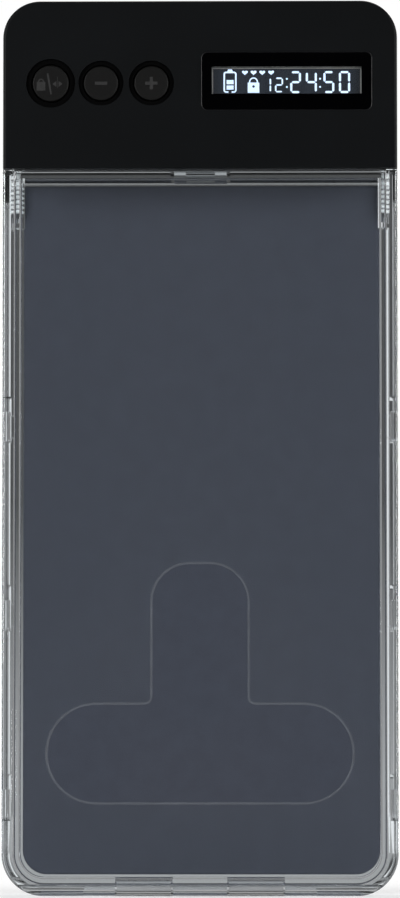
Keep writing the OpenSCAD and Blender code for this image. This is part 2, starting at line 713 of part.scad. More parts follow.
module gearbox() color([0.82, 0.7, 0.42]) translate([gearbox_x, motor_y, drive_axis_z])
    difference() {
        union() {
            for (x = [0, gearbox_w - 0.8]) translate([x, -can_flat, -can_r])
                cube([0.8, 2 * can_flat, 2 * can_r]);
            translate([0.8, -can_flat + 0.4, -can_r + 0.4])
                cube([gearbox_w - 1.6, 2 * can_flat - 0.8, 2 * can_r - 0.8]);
            translate([-0.6, 0, 0]) rotate([0, 90, 0]) cylinder(h = 1, r = 2);
        }
        translate([-1, 0, 0]) rotate([0, 90, 0]) cylinder(h = 6, r = shaft_r + run_clear);
    }

module motor_leads() color([0.1, 0.1, 0.12]) for (s = [-1, 1]) {
    x = can_x + can_len + 2.9 + s * 0.8;
    y = motor_y + 2.6 * s;
    z = motor_plug_z + plug_h / 2 - s;
    wire([[can_x + can_len + 1.6, y, drive_axis_z], [x, y, drive_axis_z], [x, y, z],
        [x, pcb_back + 2.4, z], [motor_plug_x + plug_w, pcb_back + 2.4, z]], 0.45);
}

// Strap over the gearbox, screwed to two posts of the back plate
module motor_clamp() color([0.9, 0.9, 0.88]) difference() {
    reach = can_r + 0.1;
    union() {
        box([clamp_x - clamp_w / 2, motor_y - can_flat - clamp_t, drive_axis_z - reach - clamp_t],
            [clamp_x + clamp_w / 2, motor_y + clamp_t, drive_axis_z + reach + clamp_t]);
        for (z = [-clamp_z, clamp_z])
            bar_y(clamp_x, drive_axis_z + z, clamp_post_r, motor_y - 0.4, motor_y + clamp_t);
        box([clamp_x - clamp_post_r, motor_y - 0.4, drive_axis_z - clamp_z],
            [clamp_x + clamp_post_r, motor_y + clamp_t, drive_axis_z + clamp_z]);
    }
    box([clamp_x - clamp_w, motor_y - can_flat - 0.05, drive_axis_z - reach],
        [clamp_x + clamp_w, motor_y + clamp_t + 1, drive_axis_z + reach]);
    for (z = [-clamp_z, clamp_z]) bar_y(clamp_x, drive_axis_z + z, 1.1, motor_y - 2, motor_y + 2);
}

module clamp_screws() color([0.6, 0.6, 0.62]) for (z = [-clamp_z, clamp_z])
    translate([clamp_x, motor_y - 0.4, drive_axis_z + z]) rotate([180, 0, 0])
        y_screw(0, 0, 0, small_screw_r, 1.6, 1, small_screw_len);

module output_shaft() color([0.78, 0.79, 0.8])
    bar_x(-2.2, gearbox_x + 4, shaft_r, motor_y, drive_axis_z);

// Pinion with involute flanks; a tooth points at the rack
module pinion_2d() {
    base_r = pitch_r * cos(20);
    tip_r = pitch_r + gear_module * 0.9;
    root_r = pitch_r - gear_module * 1.2;
    half = 90 / pinion_teeth - 2.2;
    inv = function(a) tan(a) * 180 / PI - a;
    flank = [for (i = [0 : 4]) let (r = base_r + (tip_r - base_r) * i / 4, a = acos(base_r / r))
        [r, half + inv(20) - inv(a)]];
    circle(root_r);
    for (k = [0 : pinion_teeth - 1]) rotate(k * 360 / pinion_teeth) polygon(concat(
        [[root_r * 0.9 * cos(flank[0][1]), -root_r * 0.9 * sin(flank[0][1])]],
        [for (f = flank) [f[0] * cos(f[1]), -f[0] * sin(f[1])]],
        [for (i = [4 : -1 : 0]) [flank[i][0] * cos(flank[i][1]), flank[i][0] * sin(flank[i][1])]],
        [[root_r * 0.9 * cos(flank[0][1]), root_r * 0.9 * sin(flank[0][1])]]));
}

module drive_pinion() color([0.88, 0.88, 0.85]) difference() {
    union() {
        translate([-1.7, motor_y, drive_axis_z]) rotate([0, 90, 0]) rotate([0, 0, -90])
            linear_extrude(3.4) pinion_2d();
        bar_x(1.6, 2.9, 1.9, motor_y, drive_axis_z);
    }
    bar_x(-3, 4, shaft_r - press_bite, motor_y, drive_axis_z);
}

// Flat bolt with a rack on its back; the rack has a gap at the pinion's height
module lock_bolt() color([0.8, 0.81, 0.83]) {
    front = bolt_y - bolt_t / 2;
    root = motor_y - pitch_r - gear_module * 1.2;
    tip = motor_y - pitch_r + gear_module * 0.75;
    difference() {
        box([-bolt_w / 2, front, tip_rest_z], [bolt_w / 2, root, tip_rest_z + bolt_len]);
        translate([0, front, tip_rest_z]) rotate([45, 0, 0]) cube([bolt_w + 1, 0.8, 0.8], center = true);
    }
    box([-bolt_w / 2, root - e, tip_rest_z], [bolt_w / 2, bolt_y + bolt_t / 2, tip_rest_z + 6]);
    for (i = [-3 : 5]) translate([0, 0, drive_axis_z + (i + 0.5) * tooth]) rotate([90, 0, 90])
        translate([0, 0, -2]) linear_extrude(4) polygon([
            [root - e, -tooth * 0.36], [tip, -tooth * 0.12], [tip, tooth * 0.12], [root - e, tooth * 0.36]]);
}

back_tray();
tray_pad();
front_cover();
cover_strike();
hinge_pin();
tray_screws();
head_front();
head_back();
housing_screws();
display_window();
display_panel();
display_backlight();
key_mat();
lock_key();
minus_key();
plus_key();
main_board();
key_switches();
board_parts();
board_screws();
charge_socket();
battery_cell();
battery_leads();
buzzer();
motor_can();
gearbox();
motor_leads();
motor_clamp();
clamp_screws();
output_shaft();
drive_pinion();
lock_bolt();
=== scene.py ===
import math

import bmesh
import bpy
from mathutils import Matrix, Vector

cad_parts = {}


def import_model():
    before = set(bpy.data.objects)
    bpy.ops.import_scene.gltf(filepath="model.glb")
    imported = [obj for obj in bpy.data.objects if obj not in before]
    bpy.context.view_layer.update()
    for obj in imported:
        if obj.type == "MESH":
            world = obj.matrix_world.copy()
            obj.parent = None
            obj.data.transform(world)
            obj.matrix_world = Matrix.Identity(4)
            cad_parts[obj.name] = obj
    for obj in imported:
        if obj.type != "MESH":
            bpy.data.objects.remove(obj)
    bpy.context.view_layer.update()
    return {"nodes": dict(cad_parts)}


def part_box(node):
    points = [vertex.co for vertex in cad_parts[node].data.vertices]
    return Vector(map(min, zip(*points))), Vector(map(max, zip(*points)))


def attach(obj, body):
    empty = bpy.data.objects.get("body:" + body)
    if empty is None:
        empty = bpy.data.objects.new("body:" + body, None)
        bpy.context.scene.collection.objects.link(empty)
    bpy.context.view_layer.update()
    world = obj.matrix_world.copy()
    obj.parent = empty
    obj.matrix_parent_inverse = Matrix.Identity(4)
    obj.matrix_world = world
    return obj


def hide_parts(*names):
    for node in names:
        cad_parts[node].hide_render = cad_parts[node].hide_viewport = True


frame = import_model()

MM = 0.001
NODES = frame["nodes"]


def mm_box(node):
    """Lowest and highest corner of a CAD node, in millimetres."""
    lo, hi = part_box(node)
    return lo / MM, hi / MM


def middle(lo, hi):
    """The x and z of a box's middle."""
    return (lo.x + hi.x) / 2, (lo.z + hi.z) / 2


# ---- material helpers ----


def new_material(name):
    m = bpy.data.materials.new(name)
    m.use_nodes = True
    return m, m.node_tree, m.node_tree.nodes["Principled BSDF"]


def add(nt, kind, **values):
    """A node of that kind, its inputs or properties set by name."""
    n = nt.nodes.new(kind)
    for key, value in values.items():
        label = key.replace("_", " ")
        if label in n.inputs:
            n.inputs[label].default_value = value
        else:
            setattr(n, key, value)
    return n


def math_node(nt, operation, a, b=None):
    """Each of a and b is a number or an output of another node."""
    n = nt.nodes.new("ShaderNodeMath")
    n.operation = operation
    for socket, value in zip(n.inputs, (a, b)):
        if value is None:
            continue
        if isinstance(value, (int, float)):
            socket.default_value = value
        else:
            nt.links.new(value, socket)
    return n.outputs[0]


def coords(nt, stretch=(1, 1, 1)):
    """Object coordinates, in metres, squeezed along each axis by stretch."""
    tc = nt.nodes.new("ShaderNodeTexCoord")
    mapping = nt.nodes.new("ShaderNodeMapping")
    mapping.inputs["Scale"].default_value = stretch
    nt.links.new(tc.outputs["Object"], mapping.inputs["Vector"])
    return mapping.outputs["Vector"]


def noise(nt, vector, scale, detail=3.0, rough=0.5):
    n = add(nt, "ShaderNodeTexNoise", Scale=scale, Detail=detail, Roughness=rough)
    nt.links.new(vector, n.inputs["Vector"])
    return n.outputs["Fac"]


def ramp(nt, value, start, end, low, high):
    """value, from start to end, spread over low to high and held there beyond them."""
    n = add(nt, "ShaderNodeMapRange", From_Min=start, From_Max=end, To_Min=low, To_Max=high)
    nt.links.new(value, n.inputs["Value"])
    return n.outputs["Result"]


def span(nt, factor, low, high):
    """Noise, which lies mostly between 0.3 and 0.7, spread over low to high."""
    return ramp(nt, factor, 0.3, 0.7, low, high)


def place_of(nt, vector):
    """The X, Y and Z outputs of a vector."""
    n = nt.nodes.new("ShaderNodeSeparateXYZ")
    nt.links.new(vector, n.inputs[0])
    return n.outputs["X"], n.outputs["Y"], n.outputs["Z"]


def mix_by(nt, factor, a, b):
    """Shader a where factor is 0, b where it is 1."""
    n = nt.nodes.new("ShaderNodeMixShader")
    nt.links.new(factor, n.inputs[0])
    nt.links.new(a, n.inputs[1])
    nt.links.new(b, n.inputs[2])
    return n.outputs[0]


def two_tone(nt, factor, a, b):
    """Colour a where factor is 0, b where it is 1."""
    n = nt.nodes.new("ShaderNodeMix")
    n.data_type = "RGBA"
    nt.links.new(factor, n.inputs["Factor"])
    n.inputs["A"].default_value = (*a, 1)
    n.inputs["B"].default_value = (*b, 1)
    return n.outputs["Result"]


def bump(nt, principled, height, strength, distance):
    n = add(nt, "ShaderNodeBump", Strength=strength, Distance=distance)
    nt.links.new(height, n.inputs["Height"])
    nt.links.new(n.outputs["Normal"], principled.inputs["Normal"])


def surface(name, colour, rough, metal=0.0, ior_level=0.5, tone=0.06, tone_scale=120, grain=2500,
            grain_depth=0.0, rough_span=0.05, stretch=(1, 1, 1)):
    """A plain moulded, cast or drawn surface: slight clouding of its colour and gloss, and a fine grain."""
    m, nt, p = new_material(name)
    v = coords(nt, stretch)
    cloud = noise(nt, v, tone_scale)
    low = [c * (1 - tone) for c in colour]
    high = [min(1.0, c * (1 + tone)) for c in colour]
    nt.links.new(two_tone(nt, span(nt, cloud, 0, 1), low, high), p.inputs["Base Color"])
    fine = noise(nt, v, grain, 2.0)
    nt.links.new(span(nt, fine, rough - rough_span, rough + rough_span), p.inputs["Roughness"])
    p.inputs["Metallic"].default_value = metal
    p.inputs["Specular IOR Level"].default_value = ior_level
    if grain_depth:
        bump(nt, p, fine, 0.6, grain_depth)
    return m


def clear_plastic(name, tint=(0.93, 0.955, 0.97), rough=(0.0, 0.03), ripple=2e-6, ior_level=0.5):
    """Polished acrylic with the faint ripple of a moulding. Shadow and diffuse rays pass straight through."""
    m, nt, p = new_material(name)
    v = coords(nt)
    p.inputs["Base Color"].default_value = (*tint, 1)
    p.inputs["Transmission Weight"].default_value = 1.0
    p.inputs["IOR"].default_value = 1.49
    p.inputs["Specular IOR Level"].default_value = ior_level
    cloud = noise(nt, v, 45, 3.0)
    nt.links.new(span(nt, cloud, *rough), p.inputs["Roughness"])
    bump(nt, p, noise(nt, v, 70, 2.0), 0.5, ripple)
    light = nt.nodes.new("ShaderNodeLightPath")
    through = math_node(nt, "MAXIMUM", light.outputs["Is Shadow Ray"], light.outputs["Is Diffuse Ray"])
    open_air = add(nt, "ShaderNodeBsdfTransparent", Color=(*[0.5 + 0.5 * c for c in tint], 1))
    out = mix_by(nt, through, p.outputs[0], open_air.outputs[0])
    nt.links.new(out, nt.nodes["Material Output"].inputs["Surface"])
    return m


# the step round the cover's opening, in mm: its depth behind the front, to within LIP_NEAR, and the height
# and half width that it stays inside
LIP_DEPTH, LIP_NEAR = 0.4, 0.02
LIP_TOP, LIP_SIDE = 80, 37
# a pale matt band painted on the lip stands in for the highlight line round the opening
LIP_HIGHLIGHT_SHARE = 0.05  # the share of it that is matt


def cover_plastic():
    """The same acrylic, with a faint pale matt band on the stepped lip round the opening: a painted highlight
    line.
    """
    m = clear_plastic("cover_plastic")
    nt = m.node_tree
    x, y, z = place_of(nt, coords(nt))
    near = math_node(nt, "COMPARE", y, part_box("front_cover")[0].y + LIP_DEPTH * MM)
    near.node.inputs[2].default_value = LIP_NEAR * MM
    low = math_node(nt, "LESS_THAN", z, LIP_TOP * MM)
    inside = math_node(nt, "LESS_THAN", math_node(nt, "ABSOLUTE", x), LIP_SIDE * MM)
    lip = math_node(nt, "MULTIPLY", math_node(nt, "MULTIPLY", near, low), inside)
    # painted highlight: a pale matt shader mixed in on the lip
    lip_highlight = add(nt, "ShaderNodeBsdfDiffuse", Color=(0.75, 0.76, 0.77, 1))
    share = span(nt, noise(nt, coords(nt), 1500), LIP_HIGHLIGHT_SHARE * 0.8, LIP_HIGHLIGHT_SHARE * 1.2)
    surface_in = nt.nodes["Material Output"].inputs["Surface"]
    clear = surface_in.links[0].from_socket
    nt.links.new(mix_by(nt, math_node(nt, "MULTIPLY", lip, share), clear, lip_highlight.outputs[0]), surface_in)
    return m


# threads of the tray screws, in mm: dark with painted shade up to the first radius, bright from the second
ROOT_R, CREST_R = 0.70, 0.80
ROOT_SHADE_TONE = (0.02, 0.02, 0.022, 1)


def thread_steel():
    """Zinc plate, bright on the crests of the threads and dark in the roots, where shade is painted into the
    colour.
    """
    m = surface("thread_steel", (0.93, 0.94, 0.94), 0.42, metal=0.3, tone=0.05, tone_scale=700, grain=2600,
                grain_depth=4e-6)
    nt, p = m.node_tree, m.node_tree.nodes["Principled BSDF"]
    x, y, _ = place_of(nt, coords(nt))
    lo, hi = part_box("tray_screws")
    head_r = (hi.y - lo.y) / 2
    x = math_node(nt, "SUBTRACT", math_node(nt, "ABSOLUTE", x), hi.x - head_r)
    y = math_node(nt, "SUBTRACT", y, (lo.y + hi.y) / 2)
    square = math_node(nt, "ADD", math_node(nt, "MULTIPLY", x, x), math_node(nt, "MULTIPLY", y, y))
    crest = ramp(nt, math_node(nt, "SQRT", square), ROOT_R * MM, CREST_R * MM, 0.0, 1.0)
    bright = p.inputs["Base Color"].links[0].from_socket
    tone = nt.nodes.new("ShaderNodeMix")
    tone.data_type = "RGBA"
    nt.links.new(crest, tone.inputs["Factor"])
    # the roots of the threads get a painted shade colour
    tone.inputs["A"].default_value = ROOT_SHADE_TONE
    nt.links.new(bright, tone.inputs["B"])
    nt.links.new(tone.outputs["Result"], p.inputs["Base Color"])
    return m


def glowing(name, colour, strength):
    """A lit part of the display, a little uneven like the light behind it."""
    m, nt, p = new_material(name)
    even = noise(nt, coords(nt), 160, 2.0)
    tone = two_tone(nt, span(nt, even, 0, 1), [c * 0.93 for c in colour], colour)
    nt.links.new(tone, p.inputs["Base Color"])
    nt.links.new(tone, p.inputs["Emission Color"])
    p.inputs["Emission Strength"].default_value = strength
    p.inputs["Roughness"].default_value = 0.6
    p.inputs["Specular IOR Level"].default_value = 0.1
    return m


# ---- materials ----

plastic = clear_plastic("clear_plastic")
cover_clear = cover_plastic()
lens = clear_plastic("window_lens", (0.93, 0.95, 0.97), (0.0, 0.02), 1e-6, 0.12)
housing = surface("black_housing", (0.0030, 0.0036, 0.0042), 0.46, ior_level=0.1, tone=0.12, tone_scale=60,
                  grain=5200, grain_depth=6e-6)
ring = surface("ring_rubber", (0.0006, 0.0006, 0.0007), 0.62, ior_level=0.03, grain=4200, grain_depth=4e-6)
cap = surface("key_cap", (0.0046, 0.0046, 0.0045), 0.5, ior_level=0.14, tone=0.1, grain=4800,
              grain_depth=4e-6)
icon = surface("key_print", (0.025, 0.025, 0.025), 0.6, ior_level=0.2, tone=0.12, tone_scale=900, grain=5200)
# a paler grey for the frame's rounded edge: a painted highlight
window_edge_highlight = surface("window_edge_highlight", (0.012, 0.012, 0.013), 0.4, ior_level=0.3, tone=0.08)
gloss_black = surface("window_black", (0.0006, 0.0006, 0.0008), 0.09, ior_level=0.06, tone=0.1,
                      rough_span=0.02)
foam = surface("foam", (0.041, 0.0465, 0.063), 0.88, ior_level=0.25, tone=0.05, tone_scale=240, grain=3600,
               grain_depth=3.5e-5, rough_span=0.04)
steel = surface("zinc_steel", (0.60, 0.61, 0.63), 0.26, metal=1.0, tone=0.08, tone_scale=700, grain=2600,
                grain_depth=4e-6)
ground = surface("ground_steel", (0.70, 0.71, 0.73), 0.22, metal=1.0, stretch=(0.05, 1, 1), tone_scale=900,
                 grain=6000, grain_depth=4e-6)
oxide = surface("black_oxide", (0.03, 0.03, 0.033), 0.36, metal=0.9, tone_scale=700, grain_depth=4e-6)
lcd = surface("display_glass", (0.0175, 0.0235, 0.033), 0.18, ior_level=0.2, tone=0.12, tone_scale=260,
              stretch=(1, 1, 0.15), rough_span=0.02)
backlight = surface("backlight", (0.80, 0.81, 0.80), 0.5, tone=0.02, grain_depth=3e-6)
switch = surface("switch_black", (0.02, 0.02, 0.021), 0.48, grain_depth=4e-6)
chip = surface("chip_epoxy", (0.013, 0.013, 0.014), 0.55, tone=0.15, tone_scale=1500, grain=5000,
               grain_depth=5e-6)
shell = surface("socket_shell", (0.68, 0.69, 0.71), 0.3, metal=1.0, stretch=(1, 1, 0.1), tone_scale=900,
                grain=4200, grain_depth=3e-6)
pouch = surface("pouch_foil", (0.66, 0.68, 0.71), 0.34, metal=0.85, tone=0.05, tone_scale=180, grain=420,
                grain_depth=4e-5, rough_span=0.08)
red_lead = surface("red_lead", (0.55, 0.02, 0.015), 0.36, tone=0.08, grain_depth=2e-6)
black_lead = surface("black_lead", (0.012, 0.012, 0.014), 0.36, tone=0.1, grain_depth=2e-6)
buzzer = surface("buzzer_case", (0.01, 0.01, 0.011), 0.4, grain=3600, grain_depth=4e-6)
can = surface("motor_can", (0.66, 0.67, 0.69), 0.24, metal=1.0, stretch=(0.08, 1, 1), tone_scale=500,
              grain=4200, grain_depth=3e-6)
brass = surface("gear_case", (0.72, 0.52, 0.24), 0.3, metal=1.0, stretch=(1, 0.12, 1), tone_scale=500,
                grain=3600, grain_depth=4e-6)
nylon = surface("white_nylon", (0.80, 0.80, 0.77), 0.5, tone=0.03, grain=3000, grain_depth=5e-6)
acetal = surface("white_acetal", (0.78, 0.78, 0.74), 0.38, tone=0.03, grain=3000, grain_depth=3e-6)
machined = surface("machined_steel", (0.63, 0.64, 0.66), 0.3, metal=1.0, stretch=(1, 1, 0.06), tone=0.03,
                   tone_scale=700, grain=5200, grain_depth=1.2e-6)
border_grey = surface("display_border", (0.24, 0.235, 0.22), 0.4, tone=0.08, tone_scale=500)
symbols = glowing("display_symbols", (0.62, 0.76, 0.93), 0.72)


def board_green():
    """Solder mask with the faint relief of copper tracks under it."""
    m, nt, p = new_material("solder_mask")
    v = coords(nt)
    cells = add(nt, "ShaderNodeTexVoronoi", Scale=420.0)
    cells.feature, cells.distance = "F1", "MANHATTAN"
    nt.links.new(v, cells.inputs["Vector"])
    tracks = math_node(nt, "GREATER_THAN", cells.outputs["Distance"], 0.62)
    nt.links.new(two_tone(nt, tracks, (0.012, 0.085, 0.03), (0.02, 0.15, 0.05)), p.inputs["Base Color"])
    nt.links.new(span(nt, noise(nt, v, 900), 0.24, 0.34), p.inputs["Roughness"])
    bump(nt, p, tracks, 0.5, 2e-5)
    return m


LOOKS = {
    "back_tray": plastic, "front_cover": cover_clear, "cover_strike": plastic, "hinge_pin": ground,
    "tray_screws": thread_steel(), "head_front": housing, "head_back": housing, "housing_screws": oxide,
    "display_panel": lcd, "display_backlight": backlight, "key_mat": ring, "lock_key": cap, "minus_key": cap,
    "plus_key": cap, "main_board": board_green(), "key_switches": switch, "board_parts": chip,
    "board_screws": steel, "charge_socket": shell, "battery_cell": pouch, "battery_leads": red_lead,
    "buzzer": buzzer, "motor_can": can, "gearbox": brass, "motor_leads": black_lead, "motor_clamp": nylon,
    "clamp_screws": steel, "output_shaft": ground, "drive_pinion": acetal, "lock_bolt": machined,
}
for node, look in LOOKS.items():
    for slot in NODES[node].material_slots:
        slot.material = look


# two clear faces in one plane render black, so the strike's faces are drawn in by a hair
STRIKE_GAP = 0.04
gap = NODES["cover_strike"].modifiers.new("gap", "DISPLACE")
gap.strength, gap.mid_level = -STRIKE_GAP * MM, 0.0


# ---- mesh helpers: shapes are drawn in the XZ plane, in millimetres, and given a depth along Y ----


def make_object(name, bm, material):
    """The object made of bm, which is used up."""
    bmesh.ops.recalc_face_normals(bm, faces=bm.faces)
    mesh = bpy.data.meshes.new(name)
    bm.to_mesh(mesh)
    bm.free()
    obj = bpy.data.objects.new(name, mesh)
    bpy.context.scene.collection.objects.link(obj)
    mesh.materials.append(material)
    return obj


def extrude_shapes(name, shapes, front, back, material):
    """Each shape is a convex outline; it becomes a closed prism from y = front to y = back."""
    bm = bmesh.new()
    for shape in shapes:
        rings = [[bm.verts.new((x * MM, y * MM, z * MM)) for x, z in shape] for y in (front, back)]
        bm.faces.new(rings[0])
        bm.faces.new(rings[1][::-1])
        for i in range(len(shape)):
            j = (i + 1) % len(shape)
            bm.faces.new((rings[0][i], rings[1][i], rings[1][j], rings[0][j]))
    return make_object(name, bm, material)


def rect(x0, z0, x1, z1):
    return [(x0, z0), (x1, z0), (x1, z1), (x0, z1)]


def stroke(a, b, width):
    """A straight stroke from a to b."""
    d = Vector((b[0] - a[0], b[1] - a[1])).normalized() * width / 2
    n = (-d.y, d.x)
    return [(a[0] - n[0], a[1] - n[1]), (b[0] - n[0], b[1] - n[1]), (b[0] + n[0], b[1] + n[1]),
            (a[0] + n[0], a[1] + n[1])]


def arc(cx, cz, inner, outer, start, end, steps=20):
    """A bent strip, as short pieces that share their ends."""
    at = [math.radians(start + (end - start) * i / steps) for i in range(steps + 1)]
    return [[(cx + r * math.cos(a), cz + r * math.sin(a)) for r, a in
             ((inner, a0), (outer, a0), (outer, a1), (inner, a1))] for a0, a1 in zip(at, at[1:])]


def plate_with_hole(x0, z0, x1, z1, cx, cz, r, steps=24):
    """A rectangle with a round hole, as wedges round the hole."""
    corners = [math.atan2(z - cz, x - cx) for x in (x0, x1) for z in (z0, z1)]
    angles = sorted({*corners, *[2 * math.pi * i / steps - math.pi for i in range(steps)]})
    angles.append(angles[0] + 2 * math.pi)

    def edge(a):
        c, s = math.cos(a), math.sin(a)
        reach = min(
            ((x1 if c > 0 else x0) - cx) / c if abs(c) > 1e-9 else 1e9,
            ((z1 if s > 0 else z0) - cz) / s if abs(s) > 1e-9 else 1e9)
        return cx + reach * c, cz + reach * s

    return [[(cx + r * math.cos(a), cz + r * math.sin(a)), edge(a), edge(b),
             (cx + r * math.cos(b), cz + r * math.sin(b))] for a, b in zip(angles, angles[1:])]


def quarter(cx, cz, r, start, steps):
    """Points of a quarter circle, anticlockwise from the angle start, in degrees."""
    angles = [math.radians(start + 90 * i / steps) for i in range(steps + 1)]
    return [(cx + r * math.cos(a), cz + r * math.sin(a)) for a in angles]


def round_outline(x0, z0, x1, z1, r, steps=10):
    """A rectangle with round corners."""
    return [*quarter(x1 - r, z0 + r, r, -90, steps), *quarter(x1 - r, z1 - r, r, 0, steps),
            *quarter(x0 + r, z1 - r, r, 90, steps), *quarter(x0 + r, z0 + r, r, 180, steps)]


# ---- the display ----

WINDOW = mm_box("display_window")
LCD = mm_box("display_panel")
PANE_FRONT, PANE_BACK = WINDOW[0].y, WINDOW[1].y
PANE_CORNER, PANE_EDGE = 1.4, 0.12                  # corner radius, and how far the front edge is rounded off
VIEW_LO, VIEW_HI = (2.66, 182.60), (36.92, 188.82)  # what the black frame leaves open, x and z
VIEW_CORNER = 0.12
LENS_GAP, LENS_FRONT, LENS_BACK = 0.004, 0.01, 0.05  # beside the lens, and how far it stays within the frame
SYMBOL_FRONT, SYMBOL_BACK = 0.02, 0.005              # of what is drawn on the display, from its glass


def window_pieces():
    """The glossy black frame round the display, and the clear lens set in it."""
    outer = round_outline(WINDOW[0].x, WINDOW[0].z, WINDOW[1].x, WINDOW[1].z, PANE_CORNER)
    cx, cz = middle(*WINDOW)
    half_x, half_z = WINDOW[1].x - cx, WINDOW[1].z - cz
    mid = 0.035  # the middle of the rounded edge, from either face
    bm = bmesh.new()
    rings = []
    for y, inset in ((PANE_BACK, 0), (PANE_FRONT + PANE_EDGE, 0), (PANE_FRONT + mid, mid),
                     (PANE_FRONT, PANE_EDGE)):
        rings.append([bm.verts.new(((cx + (x - cx) * (1 - inset / half_x)) * MM, y * MM,
                                    (cz + (z - cz) * (1 - inset / half_z)) * MM)) for x, z in outer])
    inner = round_outline(*VIEW_LO, *VIEW_HI, VIEW_CORNER)
    rings.append([bm.verts.new((x * MM, PANE_FRONT * MM, z * MM)) for x, z in inner])
    rings.append([bm.verts.new((x * MM, PANE_BACK * MM, z * MM)) for x, z in inner])
    n = len(outer)
    for a, b in zip(rings, rings[1:] + rings[:1]):
        for i in range(n):
            face = bm.faces.new((a[i], b[i], b[(i + 1) % n], a[(i + 1) % n]))
            # the paler material on the rounded edge is a painted highlight
            face.material_index = 1 if a in rings[1:3] else 0  # the rounded edge is paler
    frame_piece = make_object("window_frame", bm, gloss_black)
    frame_piece.data.materials.append(window_edge_highlight)
    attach(frame_piece, "case")
    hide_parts("display_window")
    g = LENS_GAP
    opening = rect(VIEW_LO[0] + g, VIEW_LO[1] + g, VIEW_HI[0] - g, VIEW_HI[1] - g)
    clear = extrude_shapes("window_lens", [opening], PANE_FRONT + LENS_FRONT, PANE_BACK - LENS_BACK, lens)
    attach(clear, "case")


def digit(shape, x0, x1, z0, z1, t, gap=0.09):
    """Seven-segment digit: bars with pointed ends, between x0, x1 and z0, z1, t thick."""
    zm = (z0 + z1) / 2
    h = t / 2

    def flat(z):
        return [(x0 + h + gap, z), (x0 + t + gap, z - h), (x1 - t - gap, z - h), (x1 - h - gap, z),
                (x1 - t - gap, z + h), (x0 + t + gap, z + h)]

    def upright(x, a, b):
        return [(x, a + gap), (x + h, a + h + gap), (x + h, b - h - gap), (x, b - gap), (x - h, b - h - gap),
                (x - h, a + h + gap)]

    bars = {
        "a": flat(z1 - h), "g": flat(zm), "d": flat(z0 + h),
        "f": upright(x0 + h, zm, z1 - h), "b": upright(x1 - h, zm, z1 - h),
        "e": upright(x0 + h, z0 + h, zm), "c": upright(x1 - h, z0 + h, zm),
    }
    lit = {"0": "abcdef", "1": "bc", "2": "abged", "4": "fgbc", "5": "afgcd"}[shape]
    return [bars[b] for b in lit]


def heart(cx, cz, w, h, steps=28):
    """Two lobes and a point, as wedges from the middle."""
    rim = []
    for i in range(steps):
        a = 2 * math.pi * i / steps
        x = math.sin(a) ** 3
        z = (13 * math.cos(a) - 5 * math.cos(2 * a) - 2 * math.cos(3 * a) - math.cos(4 * a)) / 16
        rim.append((cx + x * w / 2, cz + (z + 0.12) * h / 1.9))
    return [[(cx, cz), a, b] for a, b in zip(rim, rim[1:] + rim[:1])]


def colon(x, z0, z1, r, steps=12):
    angles = [math.tau * i / steps for i in range(steps)]
    return [[(x + r * math.cos(a), z + r * math.sin(a)) for a in angles] for z in (z0, z1)]


def display():
    """What the display shows, placed as in the photograph, in x and z."""
    front, back = LCD[0].y - SYMBOL_FRONT, LCD[0].y + SYMBOL_BACK
    shapes = []
    # battery: open frame, cap, two bars
    x0, x1, z0, z1, t, r = 5.36, 8.36, 182.98, 187.86, 0.36, 0.62
    for cx, cz, a in ((x0 + r, z0 + r, 180), (x1 - r, z0 + r, 270),
                      (x1 - r, z1 - r, 0), (x0 + r, z1 - r, 90)):
        shapes += arc(cx, cz, r - t, r, a, a + 90, 6)
    shapes += [rect(x0, z0 + r, x0 + t, z1 - r), rect(x1 - t, z0 + r, x1, z1 - r),
               rect(x0 + r, z1 - t, x1 - r, z1),
               rect(x0 + r, z0, 6.5, z0 + t), rect(7.22, z0, x1 - r, z0 + t)]
    shapes += [[(6.2, z1 - 0.02), (7.52, z1 - 0.02), (7.3, z1 + 0.5), (6.42, z1 + 0.5)]]
    shapes += [rect(6.06, 184.95, 7.66, 185.92), rect(6.06, 183.72, 7.66, 184.66)]
    # hearts
    for x in (10.26, 12.24, 14.22, 16.24):
        shapes += heart(x, 187.56, 1.36, 1.1)
    # padlock
    shapes += plate_with_hole(10.90, 182.96, 13.54, 185.32, 12.22, 184.42, 0.3)
    shapes += arc(12.22, 185.5, 0.72, 1.02, 0, 180, 18)
    shapes += [rect(11.2, 185.3, 11.5, 185.52), rect(12.94, 185.3, 13.24, 185.52)]
    # digits: hours small, minutes and seconds large, each with its heights and its stroke
    small, large, dots = (183.04, 186.48, 0.36, 0.06), (182.86, 187.92, 0.5), (184.3, 186.16, 0.23)
    shapes += digit("1", 14.72, 16.24, *small)
    shapes += digit("2", 17.12, 18.98, *small)
    shapes += colon(19.84, *dots)
    shapes += digit("2", 20.6, 23.08, *large)
    shapes += digit("4", 24.16, 26.7, *large)
    shapes += colon(27.42, *dots)
    shapes += digit("5", 28.18, 30.68, *large)
    shapes += digit("0", 31.72, 34.3, *large)
    lit = extrude_shapes("display_symbols", shapes, front, back, symbols)
    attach(lit, "case")
    # pale line round three sides of the glass
    x0, x1, z0, z1, t = 2.7, 36.88, 182.72, 188.76, 0.3
    sides = [rect(x0, z0, x0 + t, z1), rect(x1 - t, z0, x1, z1), rect(x0 + t, z1 - t, x1 - t, z1)]
    line = extrude_shapes("display_border", sides, front, back, border_grey)
    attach(line, "case")


# ---- the signs on the keys ----

SIGN_PROUD, SIGN_DEEP = 0.035, 0.02  # of the keys' faces


